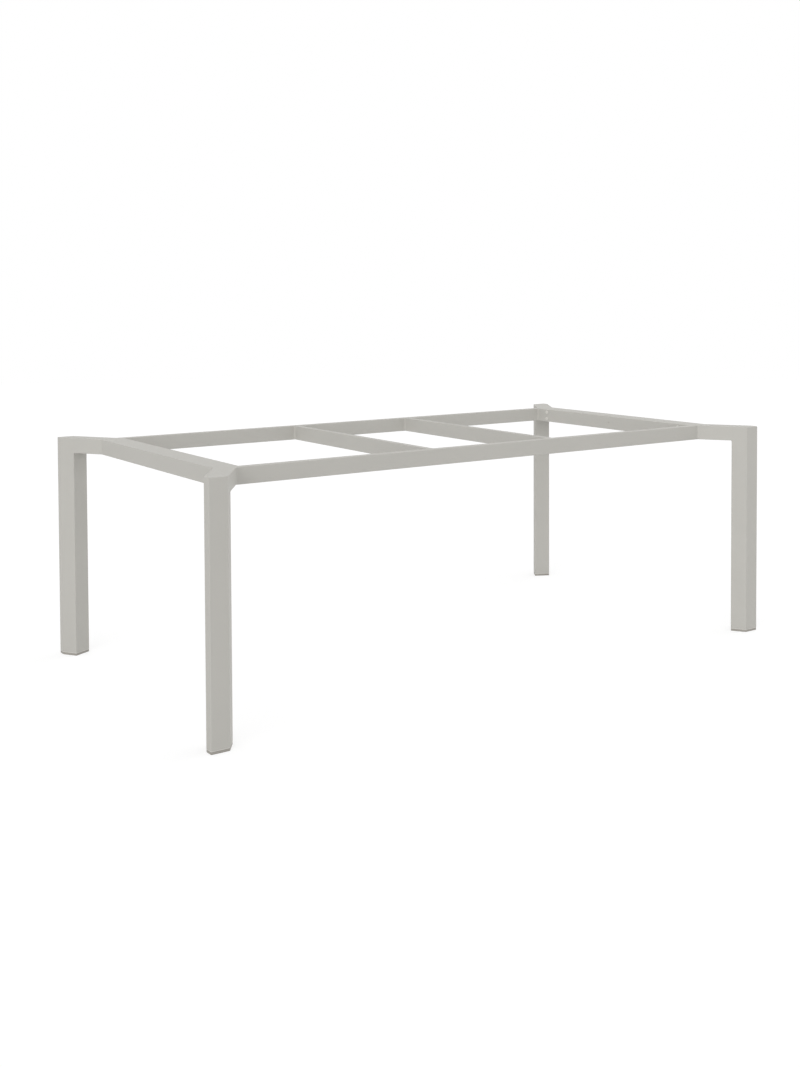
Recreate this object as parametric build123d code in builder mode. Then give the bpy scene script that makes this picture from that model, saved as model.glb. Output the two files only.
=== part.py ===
from build123d import *
import math
import os

os.makedirs("parts", exist_ok=True)

# Four-legged table frame, in millimetres, +Z up, standing on Z = 0.
# X runs along the long sides and Y along the ends; the origin is on the floor below the middle.
# Each corner piece is modelled once, in the back right corner, and mirrored into the others.

# Overall sizes
overall_length = 2163.0
overall_width = 1184.0
overall_height = 740.0
frame_width = 896.0

# Rails and cross bars, all rectangular tube of one height
rail_height = 50.0
rail_edge_radius = 2.0
long_rail_width = 25.0
long_rail_wall = 2.0
end_rail_width = 80.0
end_rail_wall = 2.5
vent_hole_diameter = 4.0
cross_bar_width = 20.0
cross_bar_wall = 2.0
cross_bar_spacing = 488.0
top_screw_diameter = 6.5
top_screw_spacing = 600.0

# Legs: a five-sided tube with a square outer corner and two flanks that run on into the arm
leg_long_face = 56.4
leg_short_face = 28.4
leg_flank = 54.5
leg_wall = 3.0
leg_edge_radius = 3.0
leg_cap_thickness = 4.0

# Feet: a moulded plug with a base of the leg's own outline, softened below the leg's end
foot_base_height = 10.0
foot_inset = 0.3
foot_bevel = 0.5
foot_chamfer = 1.0
foot_plug_height = 24.0
foot_plug_wall = 3.0
foot_plug_clearance = 0.3

# Corner arms, from leg to frame, at an angle in degrees to the long side
arm_angle = 56.0
arm_wall = 2.5
arm_plate_thickness = 8.0

# Corner bolts, in pairs one above the other
bolt_pitch = 26.0
bolt_diameter = 8.0
bolt_length = 20.0
bolt_head_diameter = 14.0
bolt_head_height = 4.4
bolt_head_chamfer = 2.2
bolt_socket_width = 5.0
bolt_socket_depth = 2.6
bolt_hole_clearance = 0.25
thread_clearance = 0.05

# The arm's direction, seen from above in the back right corner
arm_cos = math.cos(math.radians(arm_angle))
arm_sin = math.sin(math.radians(arm_angle))
inward = Vector(-arm_cos, -arm_sin, 0)
across = Vector(arm_sin, -arm_cos, 0)

# Corners of the leg section, from the end of the short outer face round to the inner face
short_tip = Vector(overall_length / 2, overall_width / 2 - leg_short_face, 0)
outer_tip = Vector(overall_length / 2, overall_width / 2, 0)
long_tip = Vector(overall_length / 2 - leg_long_face, overall_width / 2, 0)
long_heel = long_tip + inward * leg_flank
short_heel = short_tip + inward * leg_flank
outer_corners = [short_tip, outer_tip, long_tip]
all_corners = outer_corners + [long_heel, short_heel]

# The arm is as wide as the leg is across its flanks, on the same centre line
arm_width = (short_tip - long_tip).dot(across)
arm_start = (short_tip + long_tip) / 2

# Heights
rail_bottom = overall_height - rail_height
rail_middle = overall_height - rail_height / 2

# The end rail's inner wall stops on the long rail, just where the arm's flank comes in
long_rail_inner = frame_width / 2 - long_rail_width
arm_seat = long_tip.X - (long_tip.Y - long_rail_inner) * arm_cos / arm_sin
end_rail_inner = arm_seat - end_rail_wall
end_rail_middle = end_rail_inner + end_rail_width / 2
long_rail_middle = long_rail_inner + long_rail_width / 2
bolt_y = arm_start.Y - (arm_start.X - arm_seat) * arm_sin / arm_cos
bolt_heights = [rail_middle - bolt_pitch / 2, rail_middle + bolt_pitch / 2]

# For each corner: is it on the left, and is it at the front
corners = {
    "back_right": (False, False),
    "back_left": (True, False),
    "front_right": (False, True),
    "front_left": (True, True),
}


def tube_section(width, wall):
    """Sketch the section of a rectangular tube of the rails' height."""
    RectangleRounded(width, rail_height, rail_edge_radius)
    Rectangle(width - 2 * wall, rail_height - 2 * wall, mode=Mode.SUBTRACT)


def leg_outline(inset, rounded=()):
    """Sketch the leg's outline, moved inwards all round, with the given corners rounded."""
    Polygon(*all_corners, align=None)
    if inset > 0:
        offset(amount=-inset, kind=Kind.INTERSECTION)
    if rounded:
        fillet([vertices().sort_by_distance(corner)[0] for corner in rounded], leg_edge_radius)


def write_in_each_corner(pattern, name):
    """Mirror a back right piece into the four corners and write one file for each."""
    for corner, (on_left, in_front) in corners.items():
        with BuildPart() as piece:
            add(pattern.part)
            if on_left:
                mirror(about=Plane.YZ, mode=Mode.REPLACE)
            if in_front:
                mirror(about=Plane.XZ, mode=Mode.REPLACE)
        piece.part.label = f"{name}_{corner}"
        export_step(piece.part, f"parts/{name}_{corner}.step")


# Leg: the two heel edges are rounded only below the arm, which is welded flush to the flanks
with BuildPart() as leg:
    with BuildSketch(Plane.XY.offset(foot_base_height)):
        leg_outline(0, all_corners)
    extrude(amount=rail_bottom - foot_base_height)
    with BuildSketch(Plane.XY.offset(rail_bottom)):
        leg_outline(0, outer_corners)
    extrude(amount=rail_height)
    rim = leg.faces().sort_by(Axis.Z)[-1].edges()
    heel_edge = rim.sort_by_distance((long_heel + short_heel) / 2 + Vector(0, 0, overall_height))[0]
    fillet([edge for edge in rim if edge != heel_edge], rail_edge_radius)
    with BuildSketch(Plane.XY.offset(foot_base_height)):
        leg_outline(leg_wall)
    extrude(amount=overall_height, mode=Mode.SUBTRACT)
write_in_each_corner(leg, "leg")

# Leg cap: a plate let into the top of the leg, level with its rim
with BuildPart() as leg_cap:
    with BuildSketch(Plane.XY.offset(overall_height)):
        leg_outline(leg_wall)
    extrude(amount=-leg_cap_thickness)
write_in_each_corner(leg_cap, "leg_cap")

# Foot: a base under the leg's wall and a hollow plug pushed up into the tube
with BuildPart() as foot:
    with BuildSketch():
        leg_outline(foot_inset, all_corners)
    extrude(amount=foot_base_height)
    chamfer(foot.faces().sort_by(Axis.Z)[0].edges(), foot_chamfer)
    chamfer(foot.faces().sort_by(Axis.Z)[-1].edges(), foot_bevel)
    with BuildSketch(Plane.XY.offset(foot_base_height)):
        leg_outline(leg_wall + foot_plug_clearance)
    extrude(amount=foot_plug_height)
    with BuildSketch(Plane.XY.offset(foot_base_height)):
        leg_outline(leg_wall + foot_plug_clearance + foot_plug_wall)
    extrude(amount=foot_plug_height, mode=Mode.SUBTRACT)
write_in_each_corner(foot, "foot")

# Planes that trim the arm: its seat on the end rail's inner wall, and the leg's inner face
arm_reach = overall_width
arm_section = Plane(origin=arm_start + Vector(0, 0, rail_middle), x_dir=across, z_dir=inward)
seat_plane = Plane.YZ.offset(arm_seat)
plate_back_plane = Plane.YZ.offset(arm_seat + arm_plate_thickness)
heel_direction = (short_heel - long_heel).normalized()
heel_plane = Plane(origin=long_heel, x_dir=heel_direction, z_dir=heel_direction.cross(Vector(0, 0, 1)))

# Corner arm: tube mitred to the leg at one end and to the end rail's inner wall at the other
with BuildPart() as arm:
    with BuildSketch(arm_section):
        tube_section(arm_width, arm_wall)
    extrude(amount=arm_reach)
    split(bisect_by=seat_plane, keep=Keep.TOP)
    split(bisect_by=heel_plane, keep=Keep.TOP)
write_in_each_corner(arm, "arm")

# Arm plate: a thick tapped plate that closes the arm's inner end and takes the bolts
with BuildPart() as arm_plate:
    with BuildSketch(arm_section):
        Rectangle(arm_width - 2 * arm_wall, rail_height - 2 * arm_wall)
    extrude(amount=arm_reach)
    split(bisect_by=seat_plane, keep=Keep.TOP)
    split(bisect_by=plate_back_plane, keep=Keep.BOTTOM)
    with BuildSketch(seat_plane):
        with Locations(*[(bolt_y, height) for height in bolt_heights]):
            Circle(bolt_diameter / 2 + thread_clearance)
    extrude(amount=arm_plate_thickness, mode=Mode.SUBTRACT)
write_in_each_corner(arm_plate, "arm_plate")

# End rails: the tube stops at the arms' flanks, and only its inner wall runs on to the long rails
for side, on_left in {"left": True, "right": False}.items():
    with BuildPart() as end_rail:
        with BuildSketch(Plane.XZ.shift_origin((end_rail_middle, 0, rail_middle))):
            tube_section(end_rail_width, end_rail_wall)
        extrude(amount=short_tip.Y, both=True)
        with BuildSketch():
            with BuildLine():
                Polyline(
                    (end_rail_inner, long_rail_inner),
                    (arm_seat, long_rail_inner),
                    (arm_seat, short_tip.Y - (short_tip.X - arm_seat) * arm_sin / arm_cos),
                    (short_tip.X, short_tip.Y),
                    (end_rail_inner, short_tip.Y),
                    close=True,
                )
            make_face()
            mirror(about=Plane.XZ)
        extrude(amount=overall_height, mode=Mode.SUBTRACT)
        with BuildSketch(Plane.YZ.offset(end_rail_inner)):
            with Locations(*[(y, height) for y in (-bolt_y, bolt_y) for height in bolt_heights]):
                Circle(bolt_diameter / 2 + bolt_hole_clearance)
            with Locations((0, rail_middle)):
                Circle(vent_hole_diameter / 2)
        extrude(amount=end_rail_wall, mode=Mode.SUBTRACT)
        if on_left:
            mirror(about=Plane.YZ, mode=Mode.REPLACE)
    end_rail.part.label = f"end_rail_{side}"
    export_step(end_rail.part, f"parts/end_rail_{side}.step")

# Long rails: both ends are mitred to the arms' flanks
for side, in_front in {"front": True, "back": False}.items():
    with BuildPart() as long_rail:
        with BuildSketch(Plane.YZ.shift_origin((0, long_rail_middle, rail_middle))):
            tube_section(long_rail_width, long_rail_wall)
        extrude(amount=long_tip.X, both=True)
        with BuildSketch():
            with BuildLine():
                Polyline(
                    (arm_seat, long_rail_inner),
                    (long_tip.X, long_tip.Y),
                    (long_tip.X, long_rail_inner),
                    close=True,
                )
            make_face()
            mirror(about=Plane.YZ)
        extrude(amount=overall_height, mode=Mode.SUBTRACT)
        if in_front:
            mirror(about=Plane.XZ, mode=Mode.REPLACE)
    long_rail.part.label = f"long_rail_{side}"
    export_step(long_rail.part, f"parts/long_rail_{side}.step")

# Cross bars: welded between the long rails, drilled right through for the screws of the top
for side, x in {"left": -cross_bar_spacing / 2, "right": cross_bar_spacing / 2}.items():
    with BuildPart() as cross_bar:
        with BuildSketch(Plane.XZ.shift_origin((x, 0, rail_middle))):
            tube_section(cross_bar_width, cross_bar_wall)
        extrude(amount=long_rail_inner, both=True)
        with Locations(*[(x, y, overall_height) for y in (-top_screw_spacing / 2, top_screw_spacing / 2)]):
            Hole(top_screw_diameter / 2, depth=rail_height)
    cross_bar.part.label = f"cross_bar_{side}"
    export_step(cross_bar.part, f"parts/cross_bar_{side}.step")

# Corner bolts: button heads on the end rails' inner walls, shanks in the arm plates
with BuildPart() as bolt:
    with BuildSketch(Plane.YZ):
        Circle(bolt_head_diameter / 2)
    extrude(amount=-bolt_head_height)
    chamfer(bolt.faces().sort_by(Axis.X)[0].edges(), bolt_head_chamfer)
    with BuildSketch(Plane.YZ.offset(-bolt_head_height)):
        RegularPolygon(bolt_socket_width / 2, 6, major_radius=False)
    extrude(amount=bolt_socket_depth, mode=Mode.SUBTRACT)
    with BuildSketch(Plane.YZ):
        Circle(bolt_diameter / 2)
    extrude(amount=bolt_length)

with BuildPart() as corner_bolts:
    with Locations(*[(end_rail_inner, bolt_y, height) for height in bolt_heights]):
        add(bolt.part)
    mirror(about=Plane.XZ)
    mirror(about=Plane.YZ)
corner_bolts.part.label = "corner_bolts"
export_step(corner_bolts.part, "parts/corner_bolts.step")
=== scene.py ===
import math

import bmesh
import bpy
from bpy.props import FloatProperty, FloatVectorProperty, PointerProperty
from mathutils import Matrix, Vector


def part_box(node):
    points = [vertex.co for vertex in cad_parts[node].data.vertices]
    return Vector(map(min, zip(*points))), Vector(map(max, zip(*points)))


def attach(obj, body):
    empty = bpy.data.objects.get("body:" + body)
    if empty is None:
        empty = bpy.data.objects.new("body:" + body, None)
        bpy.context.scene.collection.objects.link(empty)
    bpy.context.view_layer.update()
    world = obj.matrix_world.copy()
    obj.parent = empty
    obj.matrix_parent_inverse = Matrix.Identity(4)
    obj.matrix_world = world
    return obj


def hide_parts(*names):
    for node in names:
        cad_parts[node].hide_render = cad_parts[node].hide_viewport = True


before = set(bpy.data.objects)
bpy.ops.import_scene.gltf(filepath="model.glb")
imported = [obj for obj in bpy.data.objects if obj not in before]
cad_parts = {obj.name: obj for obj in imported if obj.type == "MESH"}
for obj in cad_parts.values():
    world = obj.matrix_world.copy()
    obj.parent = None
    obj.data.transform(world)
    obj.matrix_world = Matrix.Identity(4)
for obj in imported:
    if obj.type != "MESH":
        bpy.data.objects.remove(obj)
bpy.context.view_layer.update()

bl_info = {
    "name": "Splayed Leg Table Frame",
    "version": (1, 0, 0),
    "blender": (4, 5, 0),
    "location": "3D View > Sidebar > Table Frame",
    "description": "Dresses a powder-coated table frame: coating, weld beads, bolts, feet and stage",
    "category": "Object",
}

BODY = "root"

# Angles and sizes that the node boxes don't give, in metres, as they are in the solids
ARM_ANGLE = math.radians(56)
LEG_FLANK = 0.0545
LEG_ROUNDING = 0.003
TUBE_ROUNDING = 0.002
LEG_WALL = 0.003
FOOT_BASE_HEIGHT = 0.010
FOOT_INSET = 0.0003
FOOT_BEVEL = 0.0005
FOOT_CHAMFER = 0.001
FOOT_PLUG_CLEARANCE = 0.0003
FOOT_PLUG_WALL = 0.003
BOLT_HEAD_RADIUS = 0.007
BOLT_HEAD_HEIGHT = 0.0044
BOLT_SHANK_RADIUS = 0.004

# Smallest arc left at a corner when an outline is moved inwards, in metres
SMALLEST_ARC = 0.0004

# Form of a weld bead: the gap to a tube's edge in metres, then shares of the bead's size
BEAD_CLEAR_OF_EDGE = 0.0012
BEAD_ROOT = 0.3
BEAD_END = 0.35
BEAD_HOLLOW = 0.45
BEAD_STEPS = 6

# A ripple's bend in shares of its length, and the rows of points along it
RIPPLE_BEND = 0.4
RIPPLE_ROWS = 4

# Form of a ground weld, in shares of the tube's rounding: stations down the rounded edge, how deep
# the weld goes, and the point half way across the groove's bed
ROUNDING_DROPS = (0, 0.06, 0.25, 0.6, 1)
GROOVE_DEPTH = 1.02
GROOVE_BED_ACROSS = 0.5
GROOVE_BED_DOWN = 0.6

# Texture of every skin: clouds of colour to a metre, the part of the relief that is soft waves, and
# how far the roughness moves from the tops of the grains to the grooves
CLOUDS_PER_METRE = 6.0
WAVE_SHARE = 0.55
ROUGHNESS_AT_TOPS = -0.05
ROUGHNESS_IN_GROOVES = 0.06

# The floor: its grey as it lights the object, its grey as the camera sees it, and the glow that
# lifts that to white and leaves a faint shadow
FLOOR_GREY = 0.8
FLOOR_SHOWN_GREY = 0.4
FLOOR_GLOW = 0.68

# Each corner is made in the back right one and mirrored by these signs of X and Y
CORNERS = {
    "back_right": (1, 1),
    "back_left": (-1, 1),
    "front_right": (1, -1),
    "front_left": (-1, -1),
}

# Directions of the back right arm, seen from above: outwards to the leg, and across to its short flank
OUTWARD = Vector((math.cos(ARM_ANGLE), math.sin(ARM_ANGLE), 0))
ACROSS = Vector((math.sin(ARM_ANGLE), -math.cos(ARM_ANGLE), 0))
UP = Vector((0, 0, 1))


def srgb(red, green, blue):
    """Turn a colour of 0 to 255 as it shows on a screen into the linear one of a shader."""
    linear = []
    for level in (red, green, blue):
        share = level / 255
        linear.append(share / 12.92 if share <= 0.04045 else ((share + 0.055) / 1.055) ** 2.4)
    return tuple(linear)


class CoatSettings(bpy.types.PropertyGroup):
    """The powder coat of the tubes."""

    color: FloatVectorProperty(
        name="Color", description="Colour of the coat", subtype="COLOR", default=srgb(190, 188, 182)
    )
    roughness: FloatProperty(
        name="Roughness", description="Mean roughness of the coat", subtype="FACTOR",
        default=0.56, min=0, max=1
    )
    grain: FloatProperty(
        name="Grain", description="Width of one grain of the texture", unit="LENGTH", default=0.0007
    )
    peel: FloatProperty(
        name="Orange Peel", description="Width of one soft wave in the coat", unit="LENGTH",
        default=0.004
    )
    depth: FloatProperty(
        name="Depth", description="Depth of the texture", unit="LENGTH", default=0.0003
    )


class WeldSettings(bpy.types.PropertyGroup):
    """The welds between the tubes."""

    size: FloatProperty(
        name="Bead Size", description="How far a bead reaches up each wall", unit="LENGTH", default=0.005
    )
    ripple: FloatProperty(
        name="Ripple", description="Distance from one ripple to the next", unit="LENGTH", default=0.002
    )
    ripple_height: FloatProperty(
        name="Ripple Height", description="Height of a ripple under the coat", unit="LENGTH",
        default=0.00012
    )


class BoltSettings(bpy.types.PropertyGroup):
    """The button-head bolts in the corners."""

    socket: FloatProperty(
        name="Socket", description="Width across the flats of the socket", unit="LENGTH", default=0.005
    )
    socket_depth: FloatProperty(
        name="Socket Depth", description="Depth of the socket", unit="LENGTH", default=0.0026
    )
    thread_pitch: FloatProperty(
        name="Thread Pitch", description="Distance from one turn to the next", unit="LENGTH",
        default=0.00125
    )
    # The bolts are coated to match the tubes. This paler colour is a painted highlight that makes their
    # heads show as light spots.
    color: FloatVectorProperty(
        name="Color", description="Colour of the coated bolts", subtype="COLOR",
        default=srgb(212, 210, 204)
    )
    roughness: FloatProperty(
        name="Roughness", description="Roughness of the coated bolts", subtype="FACTOR", default=0.38,
        min=0, max=1
    )


class FootSettings(bpy.types.PropertyGroup):
    """The moulded feet."""

    # This pale colour is a painted highlight. On the collar above the sole it gives the light line along
    # the top of each foot.
    color: FloatVectorProperty(
        name="Color", description="Colour of the plug and its collar", subtype="COLOR",
        default=srgb(214, 212, 207)
    )
    sole_color: FloatVectorProperty(
        name="Sole Color", description="Colour of the sole", subtype="COLOR",
        default=srgb(166, 162, 155)
    )
    sole: FloatProperty(
        name="Sole Height", description="Height of the sole, from the floor to the collar",
        unit="LENGTH", default=0.008
    )
    recess: FloatProperty(
        name="Recess", description="Depth of the hollow under a foot", unit="LENGTH", default=0.0015
    )
    rim: FloatProperty(
        name="Rim", description="Width of the ring that a foot stands on", unit="LENGTH", default=0.007
    )


class StageSettings(bpy.types.PropertyGroup):
    """The camera, the lamps and the floor."""

    lens: FloatProperty(
        name="Lens", description="Focal length in millimetres on a 36 mm sensor", default=42.652
    )
    ambient: FloatProperty(
        name="Ambient", description="Strength of the even light all round", default=0.53
    )
    key: FloatProperty(
        name="Key", description="Strength of the wide light from the left front", default=1.25
    )
    right: FloatProperty(
        name="Right", description="Strength of the wide light from the right end", default=0.75
    )
    top: FloatProperty(
        name="Top", description="Strength of the wide light from overhead", default=0.48
    )


def leg_corners():
    """Return the corners of the back right leg's section, from the short outer face's tip round."""
    low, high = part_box("leg_back_right")
    run = OUTWARD * LEG_FLANK
    short_tip = Vector((high.x, low.y + run.y, 0))
    outer_tip = Vector((high.x, high.y, 0))
    long_tip = Vector((low.x + run.x, high.y, 0))
    return [short_tip, outer_tip, long_tip, long_tip - run, short_tip - run]


def rounded_ring(corners, inset, radius, height, steps=5):
    """Return a level ring of points: the corners' outline moved inwards, with arcs at its corners."""
    count = len(corners)
    ring = []
    for index, corner in enumerate(corners):
        back = (corners[index - 1] - corner).normalized()
        ahead = (corners[(index + 1) % count] - corner).normalized()
        half = back.angle(ahead) / 2
        bisector = (back + ahead).normalized()
        arc_radius = max(radius - inset, SMALLEST_ARC)
        centre = corner + bisector * ((inset + arc_radius) / math.sin(half))
        normal_in = (back - ahead * back.dot(ahead)).normalized()
        normal_out = (ahead - back * ahead.dot(back)).normalized()
        start = -normal_out
        end = -normal_in
        for step in range(steps + 1):
            direction = start.slerp(end, step / steps)
            point = centre + direction * arc_radius
            ring.append(Vector((point.x, point.y, height)))
    return ring


def loft(bm, rings, cap_start=True, cap_end=True):
    """Join rings of as many points each into a tube of faces, closed at its ends where asked."""
    rows = [[bm.verts.new(point) for point in ring] for ring in rings]
    for low, high in zip(rows, rows[1:]):
        for index in range(len(low)):
            bm.faces.new((low[index - 1], low[index], high[index], high[index - 1]))
    if cap_start:
        bm.faces.new(reversed(rows[0]))
    if cap_end:
        bm.faces.new(rows[-1])


def mirror_to(bm, signs):
    """Mirror a back right mesh into the corner with these signs of X and Y."""
    bmesh.ops.transform(bm, matrix=Matrix.Diagonal((*signs, 1, 1)), verts=bm.verts)


def finish_piece(name, bm, material, smooth_angle=35):
    """Turn a mesh into a piece that rides on the frame and shows one material."""
    bmesh.ops.recalc_face_normals(bm, faces=bm.faces)
    mesh = bpy.data.meshes.new(name)
    bm.to_mesh(mesh)
    bm.free()
    mesh.shade_smooth()
    mesh.set_sharp_from_angle(angle=math.radians(smooth_angle))
    mesh.materials.append(material)
    piece = bpy.data.objects.new(name, mesh)
    bpy.context.scene.collection.objects.link(piece)
    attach(piece, BODY)
    return piece


def add_node(tree, kind, inputs=None, **settings):
    """Add a node; an input that is another node's socket is linked, and any other is set."""
    node = tree.nodes.new(kind)
    for key, value in settings.items():
        setattr(node, key, value)
    for key, value in (inputs or {}).items():
        if isinstance(value, bpy.types.NodeSocket):
            tree.links.new(value, node.inputs[key])
        else:
            node.inputs[key].default_value = value
    return node


def new_group(name, inputs, outputs):
    """Make a shader node group with named inputs and outputs; return it with its two end nodes."""
    group = bpy.data.node_groups.new(name, "ShaderNodeTree")
    for label, kind, default in inputs:
        socket = group.interface.new_socket(label, in_out="INPUT", socket_type=kind)
        socket.default_value = default
    for label, kind in outputs:
        group.interface.new_socket(label, in_out="OUTPUT", socket_type=kind)
    return group, group.nodes.new("NodeGroupInput"), group.nodes.new("NodeGroupOutput")


def grain_group():
    """Build, once, the textured skin that the coat, the bolts and the feet share."""
    name = "Fine Textured Skin"
    if name in bpy.data.node_groups:
        return bpy.data.node_groups[name]
    group, given, result = new_group(
        name,
        [
            ("Color", "NodeSocketColor", (0.5, 0.5, 0.5, 1)),
            ("Tint", "NodeSocketFloat", 0.04),
            ("Roughness", "NodeSocketFloat", 0.5),
            ("Grain Size", "NodeSocketFloat", 0.0007),
            ("Wave Size", "NodeSocketFloat", 0.004),
        ],
        [
            ("Color", "NodeSocketColor"),
            ("Roughness", "NodeSocketFloat"),
            ("Height", "NodeSocketFloat"),
        ],
    )
    place = add_node(group, "ShaderNodeTexCoord").outputs["Object"]

    def per_metre(size):
        return add_node(
            group, "ShaderNodeMath", {0: 1.0, 1: given.outputs[size]}, operation="DIVIDE"
        ).outputs[0]

    grains = add_node(
        group, "ShaderNodeTexVoronoi", {"Vector": place, "Scale": per_metre("Grain Size")},
        feature="SMOOTH_F1"
    ).outputs["Distance"]
    waves = add_node(
        group, "ShaderNodeTexNoise",
        {"Vector": place, "Scale": per_metre("Wave Size"), "Detail": 2.0}
    ).outputs["Fac"]
    clouds = add_node(
        group, "ShaderNodeTexNoise",
        {"Vector": place, "Scale": CLOUDS_PER_METRE, "Detail": 3.0}
    ).outputs["Fac"]
    centred = add_node(
        group, "ShaderNodeMapRange",
        {"Value": clouds, "From Min": 0.3, "From Max": 0.7, "To Min": -1.0, "To Max": 1.0}
    ).outputs["Result"]
    shift = add_node(
        group, "ShaderNodeMath", {0: centred, 1: given.outputs["Tint"]}, operation="MULTIPLY"
    ).outputs[0]
    gain = add_node(group, "ShaderNodeMath", {0: 1.0, 1: shift}, operation="ADD").outputs[0]
    tinted = add_node(
        group, "ShaderNodeVectorMath", {0: given.outputs["Color"], "Scale": gain}, operation="SCALE"
    ).outputs["Vector"]
    height = add_node(
        group, "ShaderNodeMix", {"Factor": WAVE_SHARE, "A": grains, "B": waves}, data_type="FLOAT"
    ).outputs["Result"]
    rough = add_node(
        group, "ShaderNodeMapRange",
        {"Value": grains, "To Min": ROUGHNESS_AT_TOPS, "To Max": ROUGHNESS_IN_GROOVES}
    ).outputs["Result"]
    rougher = add_node(
        group, "ShaderNodeMath", {0: given.outputs["Roughness"], 1: rough}, operation="ADD"
    ).outputs[0]
    group.links.new(tinted, result.inputs["Color"])
    group.links.new(rougher, result.inputs["Roughness"])
    group.links.new(height, result.inputs["Height"])
    return group


def skin_material(name, color, roughness, tint, grain, wave, depth):
    """Make a material whose colour, roughness and relief come from the shared skin."""
    material = bpy.data.materials.new(name)
    material.use_nodes = True
    tree = material.node_tree
    shader = tree.nodes["Principled BSDF"]
    skin = add_node(
        tree, "ShaderNodeGroup",
        {
            "Color": (*color, 1), "Tint": tint, "Roughness": roughness,
            "Grain Size": grain, "Wave Size": wave
        },
        node_tree=grain_group()
    )
    bump = add_node(
        tree, "ShaderNodeBump",
        {"Height": skin.outputs["Height"], "Distance": depth, "Strength": 1.0}
    )
    tree.links.new(skin.outputs["Color"], shader.inputs["Base Color"])
    tree.links.new(skin.outputs["Roughness"], shader.inputs["Roughness"])
    tree.links.new(bump.outputs["Normal"], shader.inputs["Normal"])
    return material


def coat_material():
    """Return the powder coat, made the first time that it is asked for."""
    coat = bpy.context.scene.table_coat
    name = "Warm Grey Powder Coat"
    return bpy.data.materials.get(name) or skin_material(
        name, coat.color, coat.roughness, tint=0.012, grain=coat.grain, wave=coat.peel, depth=coat.depth
    )


class TABLEFRAME_OT_coat_tubes(bpy.types.Operator):
    """Coat the rails, cross bars, arms and legs"""

    bl_idname = "table_frame.coat_tubes"
    bl_label = "Coat the Tubes"

    def execute(self, context):
        coat = coat_material()
        for name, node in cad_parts.items():
            if not name.startswith(("foot_", "corner_bolts")):
                node.data.materials.clear()
                node.data.materials.append(coat)
        return {"FINISHED"}


def along_flank(tip, x=None, y=None):
    """Return the point on an arm's flank, seen from above, at a given X or Y; tip is on the flank."""
    reach = (x - tip.x) / OUTWARD.x if y is None else (y - tip.y) / OUTWARD.y
    return tip + OUTWARD * reach


def add_bead(bm, start, end, along_a, along_b):
    """Add a rippled fillet bead along a seam, between two walls that run from it along_a and along_b."""
    weld = bpy.context.scene.table_weld
    run = (end - start).normalized()
    length = (end - start).length
    root = -(along_a + along_b).normalized() * weld.size * BEAD_ROOT
    count = max(RIPPLE_ROWS, round(length / weld.ripple * RIPPLE_ROWS))
    rings = []
    for index in range(count + 1):
        place = length * index / count
        to_end = min(place, length - place) / weld.size
        taper = 1 if to_end >= 1 else BEAD_END + (1 - BEAD_END) * math.sqrt(1 - (1 - to_end) ** 2)
        swell = abs(math.sin(math.pi * place / weld.ripple)) * weld.ripple_height
        ring = [start + run * place + root]
        for step in range(BEAD_STEPS + 1):
            share = step / BEAD_STEPS
            chord = along_a * (1 - share) + along_b * share
            arch = math.sin(math.pi * share)
            reach = weld.size * taper * (1 - BEAD_HOLLOW * arch) + swell * arch
            crescent = run * weld.ripple * RIPPLE_BEND * arch
            ring.append(start + run * place + chord * reach + crescent * taper)
        rings.append(ring)
    loft(bm, rings)


def down_the_rounding():
    """Return stations over a tube's rounded edge, as its drop in shares of the radius and its inset."""
    stations = []
    for drop in ROUNDING_DROPS:
        stations.append((drop, TUBE_ROUNDING * (1 - math.sqrt(1 - (1 - drop) ** 2))))
    return stations


def add_flush_weld(bm, stations, into_tube, level, up):
    """Add the ground weld that fills the groove along a tube's rounded edge, level with the tubes.

    Each station is a place on the seam, the drop of the other tube's surface there in shares of the
    radius, and how far the section leans along the seam. into_tube points from the seam into the
    rounded tube, level is the height of the flat faces, and up is 1 on top and -1 underneath.
    """
    rings = []
    for place, drop, lean in stations:
        seam = Vector((place.x, place.y, level))
        across = (into_tube + lean) * TUBE_ROUNDING
        down = UP * -up * TUBE_ROUNDING
        rings.append([
            seam + across,
            seam + down * drop,
            seam + down * GROOVE_DEPTH,
            seam + across * GROOVE_BED_ACROSS + down * GROOVE_BED_DOWN,
        ])
    loft(bm, rings)


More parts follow.
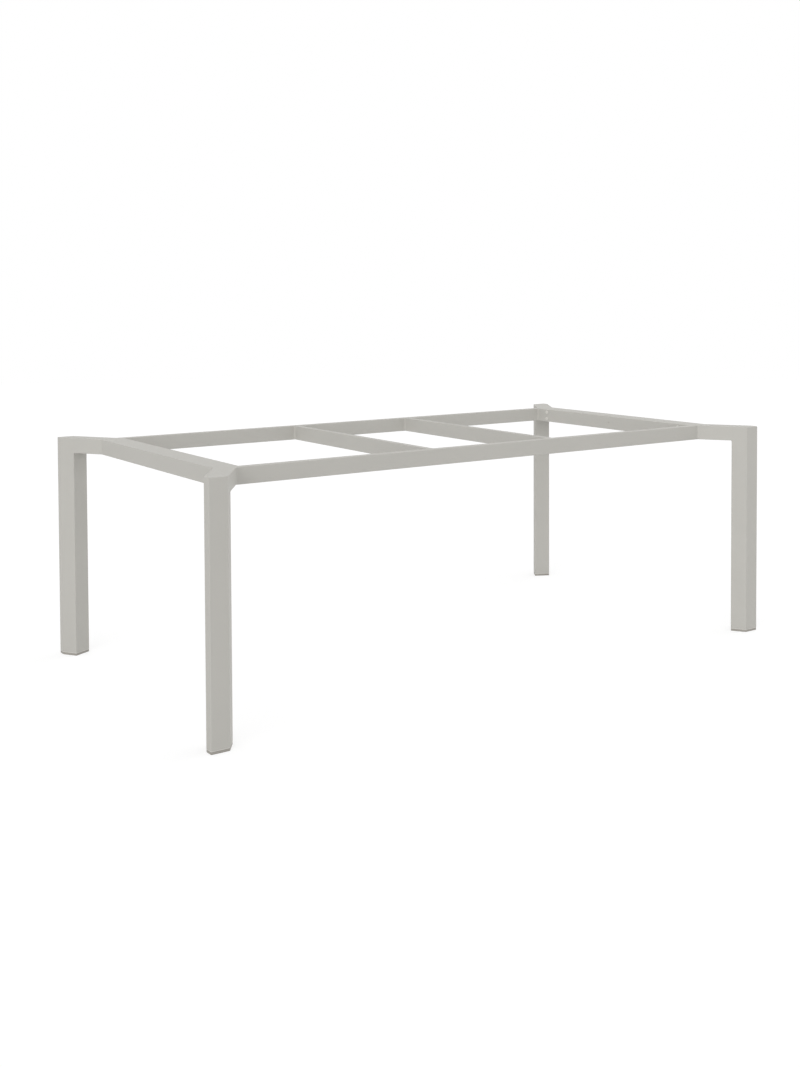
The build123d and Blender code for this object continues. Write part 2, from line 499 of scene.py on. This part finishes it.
class TABLEFRAME_OT_corner_welds(bpy.types.Operator):
    """Weld each arm to its leg and its rails"""

    bl_idname = "table_frame.corner_welds"
    bl_label = "Weld the Corners"

    def execute(self, context):
        for corner, signs in CORNERS.items():
            bm = bmesh.new()
            self.add_corner(bm)
            mirror_to(bm, signs)
            finish_piece(f"corner_welds_{corner}", bm, coat_material(), 60)
        return {"FINISHED"}

    def add_corner(self, bm):
        short_tip, _, long_tip, long_heel, short_heel = leg_corners()
        rail_low, rail_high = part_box("long_rail_back")
        end_low, end_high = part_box("end_rail_right")
        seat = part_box("arm_back_right")[0].x
        long_outer = along_flank(long_tip, y=rail_high.y)
        short_outer = along_flank(short_tip, x=end_high.x)
        square = Vector((0, 0, 0))
        to_seat = -OUTWARD * (ACROSS.x / OUTWARD.x)
        to_flank = Vector((OUTWARD.x / OUTWARD.y, 0, 0))
        long_seam = [(along_flank(long_tip, x=seat), 0, to_seat)]
        short_seam = [(along_flank(short_tip, x=seat), 0, -to_seat)]
        corner_seam = [(Vector((seat, rail_low.y, 0)), 0, to_flank)]
        for drop, inset in down_the_rounding():
            long_seam.append((along_flank(long_tip, y=rail_high.y - inset), drop, square))
            short_seam.append((along_flank(short_tip, x=end_high.x - inset), drop, square))
            corner_seam.append((Vector((end_low.x + inset, rail_low.y, 0)), drop, square))
        for level, up in ((rail_high.z, 1), (rail_low.z, -1)):
            add_flush_weld(bm, long_seam, ACROSS, level, up)
            add_flush_weld(bm, short_seam, -ACROSS, level, up)
            add_flush_weld(bm, corner_seam, Vector((0, 1, 0)), level, up)
        bottom = UP * (rail_low.z + BEAD_CLEAR_OF_EDGE)
        top = UP * (rail_high.z - BEAD_CLEAR_OF_EDGE)
        toward_middle = Vector((-1, 0, 0))
        toward_front = Vector((0, -1, 0))
        inside = Vector((end_low.x, rail_low.y, 0))
        add_bead(bm, long_outer + bottom, long_outer + top, toward_middle, OUTWARD)
        add_bead(bm, short_outer + bottom, short_outer + top, toward_front, OUTWARD)
        add_bead(bm, inside + bottom, inside + top, toward_middle, toward_front)
        under = UP * rail_low.z
        edge = ACROSS * LEG_ROUNDING
        add_bead(bm, long_heel + edge + under, short_heel - edge + under, -OUTWARD, -UP)


class TABLEFRAME_OT_bar_welds(bpy.types.Operator):
    """Weld the cross bars to the long rails"""

    bl_idname = "table_frame.bar_welds"
    bl_label = "Weld the Cross Bars"

    def execute(self, context):
        rail_low, rail_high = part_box("long_rail_back")
        for side in ("left", "right"):
            bar_low, bar_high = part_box(f"cross_bar_{side}")
            seam = []
            for drop, inset in down_the_rounding():
                for place in (bar_low.x + inset, bar_high.x - inset):
                    seam.append((Vector((place, rail_low.y, 0)), drop, Vector((0, 0, 0))))
            seam.sort(key=lambda station: station[0].x)
            for end, signs in (("back", (1, 1)), ("front", (1, -1))):
                bm = bmesh.new()
                for level, up in ((rail_high.z, 1), (rail_low.z, -1)):
                    add_flush_weld(bm, seam, Vector((0, 1, 0)), level, up)
                for x, away in ((bar_low.x, -1), (bar_high.x, 1)):
                    foot = Vector((x, rail_low.y, rail_low.z + BEAD_CLEAR_OF_EDGE))
                    head = Vector((x, rail_low.y, rail_high.z - BEAD_CLEAR_OF_EDGE))
                    add_bead(bm, foot, head, Vector((away, 0, 0)), Vector((0, -1, 0)))
                mirror_to(bm, signs)
                finish_piece(f"bar_welds_{side}_{end}", bm, coat_material(), 60)
        return {"FINISHED"}


class TABLEFRAME_OT_bolts(bpy.types.Operator):
    """Fit the button-head bolts that hold each arm to its end rail"""

    bl_idname = "table_frame.bolts"
    bl_label = "Fit the Bolts"

    around = 36
    rows_per_turn = 4
    thread_depth = 0.00065
    tip_chamfer = 0.0008
    tip_share = 0.2
    neck = 0.0004
    head_bevel = 0.0002
    edge_height = 0.0006
    crown_radius = 0.0037
    crown_steps = 7
    socket_lip = 0.0004
    drill_depth = 0.0003
    drill_radius = 0.0008

    def execute(self, context):
        low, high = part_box("corner_bolts")
        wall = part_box("end_rail_right")[0].x
        y = high.y - BOLT_HEAD_RADIUS
        bolt = context.scene.table_bolt
        # The bolts' paler colour is a painted highlight on their heads.
        finish = skin_material(
            "Coated Bolt Steel", bolt.color, bolt.roughness,
            tint=0.03, grain=0.0004, wave=0.003, depth=0.00001
        )
        rings = self.bolt_rings(bolt, high.x - wall)
        bm = bmesh.new()
        for z in (low.z + BOLT_HEAD_RADIUS, high.z - BOLT_HEAD_RADIUS):
            place = Vector((wall, y, z))
            for signs in CORNERS.values():
                mirror = Vector((*signs, 1))
                loft(bm, [[(place + point) * mirror for point in ring] for ring in rings])
        piece = finish_piece("button_head_bolts", bm, finish, 40)
        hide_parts("corner_bolts")
        return {"FINISHED"}

    def ring(self, x, radius):
        """Return a ring about the bolt's axis; radius is a length or a function of the angle."""
        points = []
        for index in range(self.around):
            angle = 2 * math.pi * index / self.around
            reach = radius(angle) if callable(radius) else radius
            points.append(Vector((x, reach * math.cos(angle), reach * math.sin(angle))))
        return points

    def bolt_rings(self, bolt, length):
        """Return the rings of one bolt, from the tip of its thread to the bottom of its socket."""
        def hexagon(grown=0.0):
            half = bolt.socket / 2 + grown
            return lambda angle: half / math.cos((angle + math.pi / 6) % (math.pi / 3) - math.pi / 6)

        def thread(x):
            def radius(angle):
                turn = x / bolt.thread_pitch - angle / (2 * math.pi)
                return BOLT_SHANK_RADIUS - self.thread_depth * (0.5 - 0.5 * math.cos(2 * math.pi * turn))
            return radius

        core = BOLT_SHANK_RADIUS - self.thread_depth
        rings = [self.ring(length, core * self.tip_share), self.ring(length, core)]
        threaded = length - self.tip_chamfer - bolt.thread_pitch
        rows = round(threaded / bolt.thread_pitch * self.rows_per_turn)
        for row in range(rows + 1):
            x = length - self.tip_chamfer - threaded * row / rows
            rings.append(self.ring(x, thread(x)))
        rings += [
            self.ring(self.neck, BOLT_SHANK_RADIUS),
            self.ring(0, BOLT_SHANK_RADIUS),
            self.ring(0, BOLT_HEAD_RADIUS - self.head_bevel),
            self.ring(-self.head_bevel, BOLT_HEAD_RADIUS),
        ]
        for step in range(self.crown_steps + 1):
            angle = math.pi / 2 * step / self.crown_steps
            rise = self.edge_height + (BOLT_HEAD_HEIGHT - self.edge_height) * math.sin(angle)
            reach = self.crown_radius + (BOLT_HEAD_RADIUS - self.crown_radius) * math.cos(angle)
            rings.append(self.ring(-rise, reach))
        socket_floor = -BOLT_HEAD_HEIGHT + bolt.socket_depth
        rings += [
            self.ring(-BOLT_HEAD_HEIGHT, hexagon(self.socket_lip)),
            self.ring(-BOLT_HEAD_HEIGHT + self.socket_lip, hexagon()),
            self.ring(socket_floor, hexagon()),
            self.ring(socket_floor + self.drill_depth, self.drill_radius),
        ]
        return rings


class TABLEFRAME_OT_feet(bpy.types.Operator):
    """Mould the feet that close the legs, each with a darker sole under a collar coloured pale as a
    painted highlight
    """

    bl_idname = "table_frame.feet"
    bl_label = "Mould the Feet"

    edge_softness = 0.0004
    recess_fillet = 0.0006
    recess_border = 0.002
    chamfer_bulge = (0.45, 0.35)
    bevel_bulge = 0.3
    seam = 0.0002
    barb_height = 0.00025
    barb_pitch = 0.006
    barb_rise = 0.0004
    barb_length = 0.003
    lead_in = (0.0008, 0.0015)
    floor_fillet = 0.001

    def execute(self, context):
        foot = context.scene.table_foot
        plastic = skin_material(
            "Moulded Plastic With Painted Highlight", foot.color, roughness=0.5,
            tint=0.02, grain=0.0005, wave=0.003, depth=0.00003
        )
        sole = skin_material(
            "Grey Brown Sole", foot.sole_color, roughness=0.7,
            tint=0.03, grain=0.0006, wave=0.003, depth=0.00006
        )
        for corner, signs in CORNERS.items():
            node = f"foot_{corner}"
            bm = bmesh.new()
            corners = leg_corners()
            rings = [
                rounded_ring(corners, inset, LEG_ROUNDING + FOOT_INSET, height)
                for inset, height in self.profile(foot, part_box(node)[1].z)
            ]
            loft(bm, rings)
            mirror_to(bm, signs)
            piece = finish_piece(f"moulded_foot_{corner}", bm, plastic, 30)
            piece.data.materials.append(sole)
            # Faces above the sole keep the pale plastic. Its paleness is a painted highlight along the
            # top of the collar.
            for face in piece.data.polygons:
                face.material_index = 1 if face.center.z < foot.sole else 0
            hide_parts(node)
        return {"FINISHED"}

    def profile(self, foot, plug_top):
        """Return the foot's section as insets and heights, from the hollow below to the plug's floor."""
        soft = self.edge_softness
        base = FOOT_BASE_HEIGHT
        plug = LEG_WALL + FOOT_PLUG_CLEARANCE
        bore = plug + FOOT_PLUG_WALL
        bulge_in, bulge_up = self.chamfer_bulge
        lead_width, lead_height = self.lead_in
        rows = [
            (foot.rim + self.recess_border, foot.recess),
            (foot.rim + self.recess_fillet, foot.recess),
            (foot.rim, foot.recess - self.recess_fillet),
            (foot.rim, soft),
            (foot.rim - soft, 0),
            (FOOT_INSET + FOOT_CHAMFER + soft, 0),
            (FOOT_INSET + FOOT_CHAMFER * bulge_in, FOOT_CHAMFER * bulge_up),
            (FOOT_INSET, FOOT_CHAMFER + soft),
            (FOOT_INSET, foot.sole - self.seam),
            (FOOT_INSET + self.seam, foot.sole),
            (FOOT_INSET, foot.sole + self.seam),
            (FOOT_INSET, base - FOOT_BEVEL),
            (FOOT_INSET + FOOT_BEVEL * self.bevel_bulge, base - FOOT_BEVEL * self.bevel_bulge),
            (FOOT_INSET + FOOT_BEVEL, base),
            (plug, base),
        ]
        height = base + self.barb_pitch
        while height < plug_top - self.barb_pitch / 2:
            rows += [
                (plug, height),
                (plug - self.barb_height, height + self.barb_rise),
                (plug, height + self.barb_length),
            ]
            height += self.barb_pitch
        rows += [
            (plug, plug_top - lead_height),
            (plug + lead_width, plug_top),
            (bore, plug_top),
            (bore, base + self.floor_fillet),
            (bore + self.floor_fillet, base),
        ]
        return rows


def world_material():
    """Make the world white to the camera and an even light of the chosen strength to the object."""
    world = bpy.data.worlds.new("Studio")
    world.use_nodes = True
    tree = world.node_tree
    shown = seen_directly(tree)
    strength = add_node(
        tree, "ShaderNodeMix",
        {"Factor": shown, "A": bpy.context.scene.table_stage.ambient, "B": 1.0}, data_type="FLOAT"
    ).outputs["Result"]
    background = tree.nodes["Background"]
    background.inputs["Color"].default_value = (1, 1, 1, 1)
    tree.links.new(strength, background.inputs["Strength"])
    return world


def seen_directly(tree):
    """Return a socket that is one for rays from the camera, a reflection or a clear surface."""
    path = add_node(tree, "ShaderNodeLightPath")
    either = add_node(
        tree, "ShaderNodeMath",
        {0: path.outputs["Is Camera Ray"], 1: path.outputs["Is Glossy Ray"]}, operation="MAXIMUM"
    ).outputs[0]
    return add_node(
        tree, "ShaderNodeMath", {0: either, 1: path.outputs["Is Transmission Ray"]},
        operation="MAXIMUM"
    ).outputs[0]


def floor_material():
    """Make a floor that lights the object as pale paper does and shows white with a faint shadow."""
    material = bpy.data.materials.new("White Floor")
    material.use_nodes = True
    tree = material.node_tree
    tree.nodes.remove(tree.nodes["Principled BSDF"])
    def grey(level):
        return add_node(
            tree, "ShaderNodeBsdfDiffuse", {"Color": (level, level, level, 1)}
        ).outputs["BSDF"]

    glow = add_node(tree, "ShaderNodeEmission", {"Color": (1, 1, 1, 1), "Strength": FLOOR_GLOW})
    lifted = add_node(
        tree, "ShaderNodeAddShader", {0: grey(FLOOR_SHOWN_GREY), 1: glow.outputs["Emission"]}
    )
    mix = add_node(
        tree, "ShaderNodeMixShader",
        {0: seen_directly(tree), 1: grey(FLOOR_GREY), 2: lifted.outputs["Shader"]}
    )
    tree.links.new(mix.outputs["Shader"], tree.nodes["Material Output"].inputs["Surface"])
    return material


def add_wide_light(name, strength, spread, direction):
    """Add a soft light that comes from far away and shines one way, as evenly near as far."""
    light = bpy.data.lights.new(name, "SUN")
    light.energy = strength
    light.angle = spread
    holder = bpy.data.objects.new(name, light)
    holder.rotation_euler = direction.to_track_quat("-Z", "Y").to_euler()
    bpy.context.scene.collection.objects.link(holder)


class TABLEFRAME_OT_stage(bpy.types.Operator):
    """Set the floor, the lamps and the camera"""

    bl_idname = "table_frame.stage"
    bl_label = "Set the Stage"

    floor_radius = 14.0
    camera_place = Vector((-2.5160, -3.6288, 1.2233))
    camera_yaw = math.radians(34.612)
    camera_pitch = math.radians(2.014)
    camera_roll = math.radians(0.233)
    camera_shift = (-0.0135, -0.1833)
    key_direction = Vector((0.79, 0.61, -0.3))
    right_direction = Vector((-1, 0, -0.3))
    top_direction = Vector((0, 0, -1))
    side_spread = math.radians(60)
    top_spread = math.radians(90)

    def execute(self, context):
        stage = context.scene.table_stage
        bm = bmesh.new()
        bmesh.ops.create_circle(bm, cap_ends=True, segments=96, radius=self.floor_radius)
        mesh = bpy.data.meshes.new("floor")
        bm.to_mesh(mesh)
        bm.free()
        mesh.materials.append(floor_material())
        floor = bpy.data.objects.new("floor", mesh)
        context.scene.collection.objects.link(floor)
        context.scene.world = world_material()
        add_wide_light("Key Light", stage.key, self.side_spread, self.key_direction)
        add_wide_light("Right Light", stage.right, self.side_spread, self.right_direction)
        add_wide_light("Top Light", stage.top, self.top_spread, self.top_direction)

        camera = bpy.data.cameras.new("Camera")
        camera.lens = stage.lens
        camera.shift_x, camera.shift_y = self.camera_shift
        camera.clip_end = 100
        holder = bpy.data.objects.new("Camera", camera)
        holder.matrix_world = (
            Matrix.Translation(self.camera_place)
            @ Matrix.Rotation(-self.camera_yaw, 4, "Z")
            @ Matrix.Rotation(math.pi / 2 - self.camera_pitch, 4, "X")
            @ Matrix.Rotation(-self.camera_roll, 4, "Z")
        )
        context.scene.collection.objects.link(holder)
        context.scene.camera = holder
        context.scene.view_settings.view_transform = "Standard"
        return {"FINISHED"}


class TABLEFRAME_PT_panel(bpy.types.Panel):
    """Lists the steps in the sidebar."""

    bl_label = "Table Frame"
    bl_idname = "TABLEFRAME_PT_panel"
    bl_space_type = "VIEW_3D"
    bl_region_type = "UI"
    bl_category = "Table Frame"

    def draw(self, context):
        for operator in OPERATORS:
            self.layout.operator(operator.bl_idname)


SETTINGS = {
    "table_coat": CoatSettings,
    "table_weld": WeldSettings,
    "table_bolt": BoltSettings,
    "table_foot": FootSettings,
    "table_stage": StageSettings,
}
OPERATORS = (
    TABLEFRAME_OT_coat_tubes,
    TABLEFRAME_OT_corner_welds,
    TABLEFRAME_OT_bar_welds,
    TABLEFRAME_OT_bolts,
    TABLEFRAME_OT_feet,
    TABLEFRAME_OT_stage,
)


def register():
    for name, settings in SETTINGS.items():
        bpy.utils.register_class(settings)
        setattr(bpy.types.Scene, name, PointerProperty(type=settings))
    for operator in OPERATORS:
        bpy.utils.register_class(operator)
    bpy.utils.register_class(TABLEFRAME_PT_panel)


def unregister():
    bpy.utils.unregister_class(TABLEFRAME_PT_panel)
    for operator in reversed(OPERATORS):
        bpy.utils.unregister_class(operator)
    for name, settings in reversed(SETTINGS.items()):
        delattr(bpy.types.Scene, name)
        bpy.utils.unregister_class(settings)


def main():
    register()
    bpy.ops.table_frame.coat_tubes()
    bpy.ops.table_frame.corner_welds()
    bpy.ops.table_frame.bar_welds()
    bpy.ops.table_frame.bolts()
    bpy.ops.table_frame.feet()
    bpy.ops.table_frame.stage()


if __name__ == "__main__":
    main()
